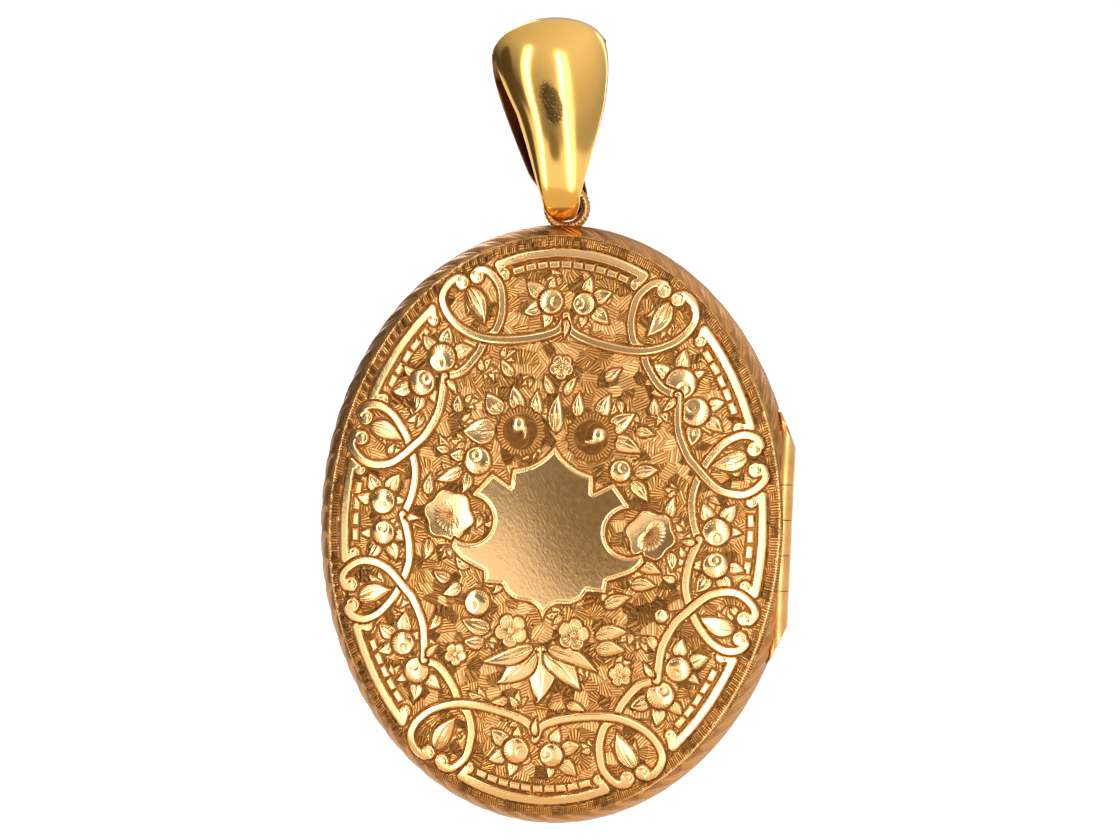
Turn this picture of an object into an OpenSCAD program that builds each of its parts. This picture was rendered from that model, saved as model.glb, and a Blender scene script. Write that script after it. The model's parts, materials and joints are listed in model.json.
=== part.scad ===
// Oval hinged locket with a tapered hanging bail.
//
// Row frame: X across the case, Y from front to back, Z up, in millimetres.
// The origin is where a chain bears, under the crown of the bail's arch.
// Each half of the case is drawn lying flat, with its mating face at z = 0 and
// its cover upwards, and is then stood up against the seam plane.

/* [Case] */
// Width of the closed case at the seam
case_w = 33.2; // [31:0.1:36]
// Height of the closed case at the seam
case_h = 41.5; // [39:0.1:45]
// Height of each half's side band above the seam
band_rise = 1.8; // [1.7:0.05:2.2]
// How far the side band leans in where it meets the cover
band_lean = 0.75; // [0.5:0.05:0.9]
// Height of the cover's crown above the seam
cover_rise = 4.25; // [4:0.05:5.5]
// Thickness of the cover's sheet
sheet = 0.45; // [0.35:0.05:0.6]
// Width of the flat mating face on each half
face_w = 2.25; // [2.2:0.05:2.6]

/* [Hinge] */
// Distance of the hinge pin from the middle of the case
pin_x = 15.55; // [15.5:0.05:15.7]
// Outer radius of the hinge tube
tube_r = 0.75; // [0.65:0.05:0.8]
// Radius of the hinge pin
pin_r = 0.3; // [0.25:0.01:0.32]
// Length of the hinge tube before its ends are bevelled off
hinge_len = 12.2; // [10:0.1:13]

/* [Inside] */
// Wall of the removable picture frame
frame_wall = 0.3; // [0.25:0.05:0.4]
// Width of the frame's lip over the crystal
frame_lip = 0.9; // [0.6:0.05:1.2]
// Thickness of each crystal
crystal_t = 0.5; // [0.4:0.05:0.6]

/* [Loop and bail] */
// Radius of the loop's wire
wire_r = 0.36; // [0.3:0.01:0.36]
// Radius of the loop, to the middle of its wire
loop_r = 1.3; // [1.3:0.05:1.5]
// Sideways place of the loop on the case
loop_x = -0.4; // [-0.6:0.1:0.6]
// Distance of the loop behind the seam
loop_back = 0.85; // [0.8:0.05:1]
// Length of the bail between the middles of its wall
bail_len = 13.9; // [13:0.1:14.5]
// Widest part of the bail
bail_w = 8; // [7:0.1:8.5]
// Thickness of the bail's wall
bail_wall = 0.4; // [0.35:0.05:0.5]
// How far the bail's leaves have been twisted round by wear, in degrees
bail_twist = 17; // [0:1:18]
// How far the bail leans over towards the opening side, in degrees
bail_tilt = 8.6; // [0:0.1:9]

/* [Hidden] */

half_w = case_w / 2;
half_h = case_h / 2;
OVAL_STEPS = 96; // points round an oval
DOME_STEPS = 72; // points round a cover
seam_gap = 0.02; // half of the hairline between the closed halves
fit = 0.05; // clearance of the snap fit
big = 100;

// Heights above the seam, from the mating face to the bottom of the hollow
plate_t = 0.4;
frame_top = 0.15;
lip_t = 0.3;
crystal_z = frame_top + lip_t;
card_z = crystal_z + crystal_t;
card_t = 0.25;
liner_t = 0.25;
ledge_z = card_z + card_t + liner_t;
ledge_t = 0.3;

// Insets from the case's outline, from the outside inwards
band_wall = 1.3;
seat_wall = 0.3;
lip_wall = 0.25;
lip_inset = face_w + fit;
frame_inset = lip_inset + lip_wall + fit + 0.02;
picture_inset = frame_inset + frame_wall + 0.03;
lip_reach = 0.7; // how far the snap lip stands into the front half
lip_end_x = 8.5; // the snap lip stops short of the hinge

knuckle_gap = 0.06;
knuckle_len = hinge_len / 5;
bore_r = pin_r + 0.03;
gutter_r = tube_r + 0.08; // clearance round the other half's knuckles
bevel_end = 8.6; // where the hinge's bevelled end meets the case's outline
chord_x = pin_x - 0.05; // the case is cut flat behind the hinge

saddle_w = 4.2;
saddle_d = 1.4;
saddle_top = half_h;
saddle_base = half_h - 0.75;
loop_z = half_h + 1.2; // centre of the loop
groove_r = 0.3;
groove_len = 6;
pivot = [loop_x, loop_back, loop_z + loop_r];

gold = "goldenrod";
bright_gold = "gold";

// ---------- outlines ----------

// The case's oval, drawn in by an inset
module oval(inset)
    polygon([for (i = [0:OVAL_STEPS - 1])
        let (t = 360 * i / OVAL_STEPS)
        [(half_w - inset) * cos(t), (half_h - inset) * sin(t)]]);

module oval_ring(outer, inner, low, high)
    translate([0, 0, low])
        linear_extrude(high - low)
            difference() {
                oval(outer);
                oval(inner);
            }

module oval_plate(inset, low, high)
    translate([0, 0, low])
        linear_extrude(high - low)
            oval(inset);

// Quads between consecutive rings of a closed tube, as triangles
function band_faces(rings, per_ring, closed) =
    [for (r = [0:rings - (closed ? 1 : 2)], p = [0:per_ring - 1])
        let (a = r * per_ring + p,
             b = r * per_ring + (p + 1) % per_ring,
             c = ((r + 1) % rings) * per_ring + (p + 1) % per_ring,
             d = ((r + 1) % rings) * per_ring + p)
        each [[a, b, c], [a, c, d]]];

// ---------- one half of the case, lying flat ----------

// Side band: a convex outside, a flat top for the cover and an upright inside
band_profile = [
    [0, seam_gap], [0.03, 0.45], [0.13, 0.9], [0.31, 1.3], [0.53, 1.58],
    [band_lean, band_rise], [band_wall, band_rise], [band_wall, seam_gap]
];

module plain_band() {
    n = len(band_profile);
    points = [for (i = [0:OVAL_STEPS - 1], p = band_profile)
        let (t = 360 * i / OVAL_STEPS)
        [(half_w - p[0]) * cos(t), (half_h - p[0]) * sin(t), p[1]]];
    polyhedron(points, band_faces(OVAL_STEPS, n, true));
}

// Domed cover: a flattened arch
SHOULDER = 1.4; // 1 is a half ellipse, and more is gentler at the edge
DOME_RINGS = 12;
function dome_ring(w, h, rise, angle) =
    [for (i = [0:DOME_STEPS - 1])
        let (t = -360 * i / DOME_STEPS)
        [w * cos(angle) * cos(t), h * cos(angle) * sin(t),
         band_rise + (rise - band_rise) * pow(sin(angle), SHOULDER)]];

module dome(w, h, rise) {
    step = 90 / DOME_RINGS;
    rings = [for (k = [0:DOME_RINGS - 1]) dome_ring(w, h, rise, k * step)];
    crown = [[0, 0, rise]];
    top = DOME_RINGS * DOME_STEPS;
    last = top - DOME_STEPS;
    base = [[for (i = [DOME_STEPS - 1:-1:0]) i]];
    cap = [for (i = [0:DOME_STEPS - 1]) [last + i, last + (i + 1) % DOME_STEPS, top]];
    polyhedron([for (r = rings) each r, each crown],
        concat(base, band_faces(DOME_RINGS, DOME_STEPS, false), cap));
}

module cover() {
    w = half_w - band_lean;
    h = half_h - band_lean;
    difference() {
        dome(w, h, cover_rise);
        translate([0, 0, -0.001])
            dome(w - sheet, h - sheet, cover_rise - sheet);
    }
}

module rim_plate(inner) oval_ring(band_wall, inner, seam_gap, plate_t);

// Upright wall with a ledge that carries the liner plate
module photo_seat(inner) {
    oval_ring(inner - seat_wall, inner, plate_t, ledge_z + ledge_t);
    oval_ring(inner, inner + 0.9, ledge_z, ledge_z + ledge_t);
}

// Removable frame: a wall round the crystal and a lip over its edge
module photo_frame() {
    oval_ring(frame_inset, frame_inset + frame_wall, frame_top, ledge_z);
    oval_ring(frame_inset + frame_wall, frame_inset + frame_wall + frame_lip,
        frame_top, crystal_z);
}

// ---------- hinge, in the case's own axes ----------

module hinge_rod(radius, low, high)
    translate([pin_x, 0, low])
        cylinder(r = radius, h = high - low, $fn = 64);

// One knuckle of the tube, counted from the lowest
module knuckle(number) {
    low = -hinge_len / 2 + number * knuckle_len;
    first = number == 0;
    last = number == 4;
    difference() {
        hinge_rod(tube_r,
            first ? -bevel_end : low + knuckle_gap / 2,
            last ? bevel_end : low + knuckle_len - knuckle_gap / 2);
        hinge_rod(bore_r, -big, big);
        for (side = [-1, 1]) end_bevel(side);
    }
}

// The ends of the tube are cut off slanting, to follow the case's outline
module end_bevel(side) {
    run = bevel_end - hinge_len / 2;
    drop = 1.15;
    scale([1, 1, side])
        translate([pin_x + tube_r, 0, hinge_len / 2])
            rotate([0, -atan2(drop, run), 0])
                translate([0, -big / 2, -run])
                    cube([big, big, big]);
}

// What the hinge takes out of a half: a flat behind it, a close groove for the
// half's own knuckles and a wider one for the other half's
module hinge_room(own) {
    translate([chord_x, -big / 2, -bevel_end])
        cube([big, big, 2 * bevel_end]);
    hinge_rod(tube_r, -bevel_end, bevel_end);
    for (k = [0:4])
        if (!own[k])
            hinge_rod(gutter_r,
                -hinge_len / 2 + k * knuckle_len - knuckle_gap / 2,
                -hinge_len / 2 + (k + 1) * knuckle_len + knuckle_gap / 2);
}

BACK_KNUCKLES = [true, false, true, false, true];
FRONT_KNUCKLES = [false, true, false, true, false];

module front_half() rotate([90, 0, 0]) children();

module back_half() mirror([0, 1, 0]) rotate([90, 0, 0]) children();

// A groove along the seam for a fingernail, on the opening side
module nail_groove()
    translate([-half_w, 0, 0])
        cylinder(r = groove_r, h = groove_len, center = true, $fn = 32);

// ---------- loop and bail ----------

module saddle_block()
    translate([loop_x - saddle_w / 2, loop_back - saddle_d / 2, saddle_base])
        cube([saddle_w, saddle_d, saddle_top - saddle_base]);

function eased(x) = let (c = min(max(x, 0), 1)) c * c * (3 - 2 * c);

// Side view of the bail, from its foot (0) up the front to the crown (180) and
// down the back (360), as [distance behind the pivot, height above it]. Inside
// the loop the foot arches up over the lower part of the ring.
BAIL_STEPS = 72;
BAIL_FOOT = -2.2;
FRONT_BULGE = 3.4;
BACK_BULGE = 3.0;
NECK_LIFT = 0.55;
NECK_SPREAD = 0.8;
function bail_path(t) =
    let (y = -(t < 180 ? FRONT_BULGE : BACK_BULGE) * sin(t) * pow(max(sin(t / 2), 0.02), -0.25),
         lift = cos(t) > 0 ? NECK_LIFT * exp(-pow(y / NECK_SPREAD, 2)) : 0)
    [y, BAIL_FOOT + bail_len * (1 - cos(t)) / 2 + lift];

// How wide the bail is at a point of its side view: a narrow neck inside the
// loop, a round tip, and then a taper that rounds over into the crown
NECK_W = 0.9;
NECK_REACH = 1.1;
TIP_R = 1.3;
TIP_Z = -0.95;
TAPER = 0.55;
CROWN_EASE = 14;
function leaf_width(z) =
    let (w = 2 * TIP_R + TAPER * (z - TIP_Z))
    w / pow(1 + pow(w / bail_w, CROWN_EASE), 1 / CROWN_EASE);
function bail_width(p) =
    p[1] < 0 && abs(p[0]) < NECK_REACH ? NECK_W
    : p[1] < TIP_Z ? 2 * sqrt(TIP_R * TIP_R - pow(p[1] - TIP_Z, 2))
    : leaf_width(p[1]);

// How far the bail's edges curl in, as a share of its width
function bail_curl(t) = 0.05 + 0.19 * eased((t - 20) / 70) * (1 - eased((t - 185) / 70));

// How far round the curl has come at a share of the half width
function bail_arch(u) = (1 - sqrt(1 - 0.96 * u * u)) / 0.8;

// The twist grows from nothing at the loop, and faster up the back leaf
function bail_twist_at(p) =
    bail_twist * (p[0] > 0 ? eased((p[1] + 1.5) / 3) : min(max((p[1] + 1.5) / 7, 0), 1));

function bail_normal(t) =
    let (d = bail_path(t + 1) - bail_path(t - 1))
    [d[1], -d[0]] / norm(d);

BAIL_ACROSS = 8; // strips across the bail
function bail_side(t, out) =
    let (p = bail_path(t),
         n = bail_normal(t),
         w = bail_width(p),
         curl = bail_curl(t) * w,
         twist = bail_twist_at(p))
    [for (k = [0:BAIL_ACROSS])
        let (u = out * (1 - 2 * k / BAIL_ACROSS),
             off = curl * bail_arch(u) - out * bail_wall / 2,
             x = u * w / 2,
             y = p[0] + n[0] * off)
        [x * cos(twist) - y * sin(twist), x * sin(twist) + y * cos(twist),
         p[1] + n[1] * off]];

module bail_body() {
    rings = [for (i = [0:BAIL_STEPS - 1])
        let (t = 360 * i / BAIL_STEPS)
        each [bail_side(t, 1), bail_side(t, -1)]];
    polyhedron([for (r = rings) each r],
        band_faces(BAIL_STEPS, 2 * (BAIL_ACROSS + 1), true));
}

// The bail leans over about the middle of its neck. A chain bears under the
// crown of the arch.
neck = pivot + [0, 0, BAIL_FOOT + NECK_LIFT];
seat_height = bail_len - NECK_LIFT - bail_wall / 2;
chain_seat = neck + [-sin(bail_tilt) * seat_height, 0, cos(bail_tilt) * seat_height];

// ---------- nodes ----------

module bail()
    color(bright_gold)
        translate(neck)
            rotate([0, -bail_tilt, 0])
                translate(pivot - neck)
                    bail_body();

module loop()
    color(gold)
        difference() {
            translate([loop_x, loop_back, loop_z])
                rotate([90, 0, 0])
                    rotate_extrude($fn = 64)
                        translate([loop_r, 0])
                            circle(r = wire_r, $fn = 32);
            saddle_block();
        }

module loop_saddle() color(gold) saddle_block();

module front_cover() color(gold) front_half() cover();

module front_band()
    color(gold)
        difference() {
            front_half() plain_band();
            hinge_room(FRONT_KNUCKLES);
            nail_groove();
        }

module front_rim_plate()
    color(bright_gold)
        difference() {
            front_half() rim_plate(face_w);
            hinge_room(FRONT_KNUCKLES);
        }

module front_photo_seat() color(gold) front_half() photo_seat(face_w);

module front_photo_frame() color(bright_gold) front_half() photo_frame();

module front_crystal()
    color("lightcyan", 0.35)
        front_half() oval_plate(picture_inset, crystal_z, card_z);

module front_photo_card()
    color("ivory")
        front_half() oval_plate(picture_inset, card_z, card_z + card_t);

module front_liner_plate()
    color(gold)
        front_half() oval_plate(picture_inset, card_z + card_t, ledge_z);

module front_knuckle_upper() color(gold) knuckle(3);

module front_knuckle_lower() color(gold) knuckle(1);

module back_cover() color(gold) back_half() cover();

module back_band()
    color(gold)
        difference() {
            back_half() plain_band();
            hinge_room(BACK_KNUCKLES);
            nail_groove();
            saddle_block();
        }

module back_rim_plate()
    color(bright_gold)
        difference() {
            back_half() rim_plate(lip_inset);
            hinge_room(BACK_KNUCKLES);
        }

module back_photo_seat() color(gold) back_half() photo_seat(lip_inset);

// Springy lip that stands into the front half, cut away beside the hinge
module snap_lip()
    color(bright_gold)
        difference() {
            back_half() oval_ring(lip_inset, lip_inset + lip_wall, -lip_reach, 1.0);
            translate([lip_end_x, -big / 2, -big / 2]) cube(big);
        }

module back_photo_frame() color(bright_gold) back_half() photo_frame();

module back_crystal()
    color("lightcyan", 0.35)
        back_half() oval_plate(picture_inset, crystal_z, card_z);

module back_photo_card()
    color("ivory")
        back_half() oval_plate(picture_inset, card_z, card_z + card_t);

module back_liner_plate()
    color(gold)
        back_half() oval_plate(picture_inset, card_z + card_t, ledge_z);

module back_knuckle_top() color(gold) knuckle(4);

module back_knuckle_middle() color(gold) knuckle(2);

module back_knuckle_bottom() color(gold) knuckle(0);

module hinge_pin()
    color("darkgoldenrod")
        hinge_rod(pin_r, -hinge_len / 2 - 0.6, hinge_len / 2 + 0.6);

module hung() translate(-chain_seat) children();

hung() bail();
hung() loop();
hung() loop_saddle();
hung() front_cover();
hung() front_band();
hung() front_rim_plate();
hung() front_photo_seat();
hung() front_photo_frame();
hung() front_crystal();
hung() front_photo_card();
hung() front_liner_plate();
hung() front_knuckle_upper();
hung() front_knuckle_lower();
hung() back_cover();
hung() back_band();
hung() back_rim_plate();
hung() back_photo_seat();
hung() snap_lip();
hung() back_photo_frame();
hung() back_crystal();
hung() back_photo_card();
hung() back_liner_plate();
hung() back_knuckle_top();
hung() back_knuckle_middle();
hung() back_knuckle_bottom();
hung() hinge_pin();
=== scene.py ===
"""Looks of the oval engraved locket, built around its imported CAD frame.

Pieces are worked out in millimetres in each half's own axes: p to the right, q up
and d outwards from the seam. Each is then set in the row frame, in metres.
"""

import json
import math

import bmesh
import bpy
import numpy as np
from mathutils import Matrix, Vector


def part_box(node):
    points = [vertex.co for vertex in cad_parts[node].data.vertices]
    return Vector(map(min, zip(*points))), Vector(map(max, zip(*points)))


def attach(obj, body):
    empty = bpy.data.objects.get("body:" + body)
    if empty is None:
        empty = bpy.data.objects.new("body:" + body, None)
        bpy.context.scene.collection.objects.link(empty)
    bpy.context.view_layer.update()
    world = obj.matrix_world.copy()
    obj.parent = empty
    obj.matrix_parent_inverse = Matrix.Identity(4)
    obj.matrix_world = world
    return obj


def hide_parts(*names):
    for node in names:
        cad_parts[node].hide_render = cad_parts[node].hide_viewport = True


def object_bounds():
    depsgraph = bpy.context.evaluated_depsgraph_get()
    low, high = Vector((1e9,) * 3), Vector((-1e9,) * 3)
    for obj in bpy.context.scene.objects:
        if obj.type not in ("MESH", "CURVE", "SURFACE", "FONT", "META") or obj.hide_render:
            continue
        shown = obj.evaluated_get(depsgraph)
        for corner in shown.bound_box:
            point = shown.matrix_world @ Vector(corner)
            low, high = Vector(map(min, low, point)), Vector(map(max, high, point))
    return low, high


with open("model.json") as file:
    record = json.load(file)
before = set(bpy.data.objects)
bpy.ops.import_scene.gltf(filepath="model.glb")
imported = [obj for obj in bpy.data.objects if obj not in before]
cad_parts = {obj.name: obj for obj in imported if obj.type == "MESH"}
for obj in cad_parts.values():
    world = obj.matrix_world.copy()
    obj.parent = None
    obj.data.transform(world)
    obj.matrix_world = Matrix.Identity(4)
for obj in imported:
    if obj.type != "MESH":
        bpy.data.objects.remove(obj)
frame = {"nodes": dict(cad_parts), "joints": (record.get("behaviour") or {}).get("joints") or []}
CAD_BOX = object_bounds()
MM = 0.001
FRONT, BACK = -1, 1  # which way along Y a half's outside faces
TAU = 2 * math.pi


# ---------- sizes, from the frame ----------


def box_mm(node):
    low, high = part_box(node)
    return np.array(low) / MM, np.array(high) / MM


def joint_place(name):
    joint = next(j for j in frame["joints"] if j["name"] == name)
    return np.array(joint["pos_m"]) / MM


cover_low, cover_high = box_mm("front_cover")
band_low, band_high = box_mm("front_band")
SEAM = (band_high[1] + box_mm("back_band")[0][1]) / 2
CENTRE = np.array([(cover_low[0] + cover_high[0]) / 2, SEAM, (band_low[2] + band_high[2]) / 2])
COVER_W, COVER_H = (cover_high[0] - cover_low[0]) / 2, (cover_high[2] - cover_low[2]) / 2
HALF_H = (band_high[2] - band_low[2]) / 2
LEAN = HALF_H - COVER_H
HALF_W = COVER_W + LEAN
BAND_RISE, COVER_RISE = SEAM - cover_high[1], SEAM - cover_low[1]
SEAM_GAP = (SEAM - band_high[1]) / 3  # finer than the solid's, so no light shows through
BAND_WALL = 1.3
SHEET = 0.45
DOME_POWER = 0.7

PIN = joint_place("case_opening") - CENTRE
knuckle_low, knuckle_high = box_mm("back_knuckle_middle")
TUBE_R = (knuckle_high[1] - knuckle_low[1]) / 2
HINGE_END = box_mm("back_knuckle_top")[1][2] - CENTRE[2]
CHORD = band_high[0] - CENTRE[0]

PIVOT = joint_place("case_swing")


# ---------- meshes ----------


def from_half(points, side):
    """A half's own (p, q, d) as points in the row frame, in millimetres."""
    p, q, d = np.asarray(points, float).T
    return np.stack([CENTRE[0] + p, CENTRE[1] + side * d, CENTRE[2] + q], axis=1)


def add_piece(name, points, faces, body, material, stands_for, sharp, marks=None):
    """A closed mesh from points in the row frame, in millimetres, in the place of CAD nodes."""
    mesh = bpy.data.meshes.new(name)
    mesh.from_pydata((np.asarray(points) * MM).tolist(), [], faces)
    for mark, values in (marks or {}).items():
        layer = mesh.attributes.new(mark, "FLOAT", "POINT")
        layer.data.foreach_set("value", np.asarray(values, np.float32))
    work = bmesh.new()
    work.from_mesh(mesh)
    bmesh.ops.remove_doubles(work, verts=work.verts, dist=1e-7)
    bmesh.ops.recalc_face_normals(work, faces=work.faces)
    work.to_mesh(mesh)
    work.free()
    mesh.shade_smooth()
    mesh.set_sharp_from_angle(angle=math.radians(sharp))
    obj = bpy.data.objects.new(name, mesh)
    bpy.context.scene.collection.objects.link(obj)
    mesh.materials.append(material)
    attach(obj, body)
    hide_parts(*stands_for)


def tube_faces(rings, per_ring, closed_rings):
    """Quads between consecutive rings of points."""
    r = np.arange(rings if closed_rings else rings - 1)
    r, k = (x.ravel() for x in np.meshgrid(r, np.arange(per_ring), indexing="ij"))
    r1, k1 = (r + 1) % rings, (k + 1) % per_ring
    quads = [r * per_ring + k, r * per_ring + k1, r1 * per_ring + k1, r1 * per_ring + k]
    return np.stack(quads, axis=1).tolist()


def turned(profile, steps):
    """A closed ring of oval section: each profile entry is (half width, half height, d)."""
    t = np.arange(steps) * TAU / steps
    a, b, d = np.array(profile, float).T
    points = np.stack([
        np.outer(a, np.cos(t)), np.outer(b, np.sin(t)), np.repeat(d[:, None], steps, axis=1)
    ], axis=2).reshape(-1, 3)
    return points, tube_faces(len(profile), steps, True)


def smooth(x):
    x = np.clip(x, 0, 1)
    return x * x * (3 - 2 * x)


def curve_through(points, per_span=10):
    """A smooth line through the points, which it meets."""
    p = np.array(points, float)
    p = np.vstack([2 * p[0] - p[1], p, 2 * p[-1] - p[-2]])
    t = (np.arange(per_span) / per_span)[:, None]
    out = []
    for a, b, c, d in zip(p[:-3], p[1:-2], p[2:-1], p[3:]):
        out.append(0.5 * (2 * b + (c - a) * t + (2 * a - 5 * b + 4 * c - d) * t ** 2
                          + (3 * b - a - 3 * c + d) * t ** 3))
    return np.vstack(out + [p[-2:-1]])


# ---------- engraving ----------

STROKE = 0.19  # spacing of the hatching's strokes
OUTLINE = 0.12  # width of the cut round a motif
PATCH, PATCH_COUNT = 0.85, 72  # size of the ground's patches, and how many there are each way
BLOCK_W, BLOCK_H, BLOCK_STROKE = 0.54, 0.38, 0.16  # the border's blocks
TOOTH_LEN, TOOTH_DEEP = 0.84, 0.46
FAR = 9.0  # beyond the reach of any motif


def gap_to(pu, pv, a, b):
    """How far the points are from the stretch from a to b."""
    step = b - a
    du, dv = pu - a[0], pv - a[1]
    t = np.clip((du * step[0] + dv * step[1]) / max(step @ step, 1e-9), 0, 1)
    return np.hypot(du - t * step[0], dv - t * step[1])


class Engraving:
    """Height and finish of an engraved sheet at points (u, v), in millimetres.

    phase counts strokes, lines says how strongly they are cut, shade goes from
    0, bright and raised, to 1, dark: patina in the cuts, painted shadow along the
    motifs' outlines and painted shade on some flowers, and polish from 0 to 1.
    """

    def __init__(self, u, v):
        self.u, self.v = u, v
        self.height, self.phase, self.lines, self.shade, self.polish = np.zeros((5, len(u)))

    def near(self, centre, reach):
        return np.flatnonzero((abs(self.u - centre[0]) < reach) & (abs(self.v - centre[1]) < reach))

    def around(self, centre, radius, reach, turn=0.0):
        """The points near a round motif, and their places in its own turned axes, in radii."""
        at = self.near(centre, radius * reach)
        du, dv = (self.u[at] - centre[0]) / radius, (self.v[at] - centre[1]) / radius
        x = du * math.cos(turn) + dv * math.sin(turn)
        y = dv * math.cos(turn) - du * math.sin(turn)
        return at, x, y

    def put(self, at, inside, height, phase=0.0, lines=0.0, shade=0.0, polish=0.8):
        """Sets what a motif says where inside, its distance in from its edge, allows."""
        keep = inside > -OUTLINE
        at, inside = at[keep], inside[keep]

        def pick(value):
            return value[keep] if isinstance(value, np.ndarray) else value

        wall = smooth(inside / 0.1 + 0.3)
        cut = inside < 0
        self.height[at] = np.where(cut, -0.08, pick(height) * wall)
        self.phase[at] = pick(phase)
        self.lines[at] = np.where(cut, 0, pick(lines))
        # A cut is painted dark: patina in the cut, and painted shadow along the motif's edge.
        self.shade[at] = np.where(cut, 1.2, pick(shade) * np.ones(len(at)))
        self.polish[at] = np.where(cut, 0, pick(polish))

    def ground(self, seed):
        """Patches of strokes, side by side or fanned out, each a slightly tilted facet."""
        pitch, count = PATCH, PATCH_COUNT
        rng = np.random.default_rng(seed)
        jitter = rng.uniform(0.05, 0.95, (count, count, 2))
        turn = rng.uniform(0, TAU, (count, count))
        tone = rng.uniform(0, 1, (count, count))
        cell_u, cell_v = (np.floor(x / pitch).astype(int) + count // 2 for x in (self.u, self.v))
        best = np.full(len(self.u), 1e9)
        away_u, away_v, angle, shade = np.zeros((4, len(self.u)))
        for du in (-1, 0, 1):
            for dv in (-1, 0, 1):
                i, j = cell_u + du, cell_v + dv
                off_u = self.u - (i - count // 2 + jitter[i, j, 0]) * pitch
                off_v = self.v - (j - count // 2 + jitter[i, j, 1]) * pitch
                dist = np.hypot(off_u, off_v)
                closer = dist < best
                best = np.where(closer, dist, best)
                away_u = np.where(closer, off_u, away_u)
                away_v = np.where(closer, off_v, away_v)
                angle = np.where(closer, turn[i, j], angle)
                shade = np.where(closer, tone[i, j], shade)
        across = away_u * np.cos(angle) + away_v * np.sin(angle)
        along = away_v * np.cos(angle) - away_u * np.sin(angle)
        fan = np.arctan2(across, along + 1.1) * 1.25
        self.phase[:] = np.where(shade > 0.45, fan, across) / STROKE
        self.lines[:] = 0.95
        self.height[:] = 0.3 * along * (shade - 0.35) + 0.014 * np.sin(TAU * across / 0.36) - 0.03
        self.shade[:] = 0.3 + 0.85 * shade ** 1.5
        self.polish[:] = 0.5 * shade

    def sprigs(self, seed, count):
        """Small leaves strewn over the ground in threes."""
        rng = np.random.default_rng(seed)
        for spot, turn, size in zip(rng.uniform(-1, 1, (count, 2)), rng.uniform(0, TAU, count),
                                    rng.uniform(0.75, 1.25, count)):
            base = spot * (14.2, 18.4)
            if np.hypot(*spot) > 0.97:
                continue
            for off in (-0.75, 0, 0.75):
                way = np.array([math.cos(turn + off), math.sin(turn + off)])
                self.leaf(base, base + size * (1 - 0.25 * abs(off)) * way, 0.42 * size, lift=0.07)

    def border(self, inner_w, inner_h, width):
        """Blocks of strokes round the edge, by turns across and along it, inside a bright line."""
        angle = np.arctan2(self.v / inner_h, self.u / inner_w)
        mean = (inner_w + inner_h) / 2
        out = (np.hypot(self.u / inner_w, self.v / inner_h) - 1) * mean
        at = np.flatnonzero(out > 0)
        s, out = angle[at] * mean, out[at]
        block = np.floor(s / BLOCK_W) * 3 + np.floor(out / BLOCK_H) * 5
        crossways = block % 4 < 3
        tone = (block * 0.618) % 1
        line = np.exp(-((out - width) / 0.07) ** 2)
        self.phase[at] = np.where(crossways, s, out) / BLOCK_STROKE
        self.lines[at] = 1 - line
        self.shade[at] = (0.55 + 0.45 * tone) * (1 - line)
        self.height[at] = (0.05 * np.sin(s * 10.1) + 0.07 * tone) * (1 - line) + 0.12 * line
        self.polish[at] = 0.2 + 0.8 * line

    def leaf(self, base, tip, width, lift=0.13):
        """A curved leaf with a midrib that fades towards the tip, and strokes from its base."""
        base, tip = np.array(base, float), np.array(tip, float)
        length = np.hypot(*(tip - base))
        along = (tip - base) / length
        at = self.near((base + tip) / 2, length / 2 + width)
        du, dv = self.u[at] - base[0], self.v[at] - base[1]
        s = (du * along[0] + dv * along[1]) / length
        t = dv * along[0] - du * along[1]
        t = t - 0.06 * length * np.sin(math.pi * np.clip(s, 0, 1))
        half = width / 2 * np.sin(math.pi * np.clip(s, 0, 1) ** 0.7) ** 0.85
        inside = np.minimum(half - abs(t), np.minimum(s, 1 - s) * length)
        share = t / np.maximum(half, 1e-3)
        vein = np.exp(-(t / 0.05) ** 2) * np.clip(1 - 1.2 * s, 0, 1)
        slope = 0.35 * share * width / 2
        self.put(at, inside, lift * (1 - 0.35 * share ** 2) + slope * 0.3 - 0.08 * vein,
                 phase=share * 3, lines=np.clip(1.1 - 2.2 * s, 0, 1),
                 shade=0.08 * abs(share) + 0.75 * vein, polish=0.95)

    def rose(self, centre, radius, turn):
        """A smooth round bud with a dark curl at its heart, painted shade round that heart on one side, and
        strokes on the other.
        """
        at, x, y = self.around(centre, radius, 1.3, turn)
        r, angle = np.hypot(x, y), np.arctan2(y, x)
        heart = np.hypot(x - 0.45, y)
        # Painted shade: the bud darker and a little lower round its heart, on one side.
        painted_shade = smooth((0.62 - heart) / 0.4)
        curl = np.exp(-((heart - 0.3) / 0.06) ** 2) * smooth(0.6 - x + 0.5 * y) * (r < 0.9)
        fringe = smooth((r - 0.66) / 0.12) * smooth(-x * 1.6)
        self.put(at, (1 - r) * radius, 0.24 * (1 - 0.5 * r ** 2) - 0.07 * curl - 0.05 * painted_shade,
                 phase=angle * 22 / TAU, lines=0.8 * fringe,
                 shade=0.35 * painted_shade + 0.75 * curl, polish=1.0)

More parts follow.
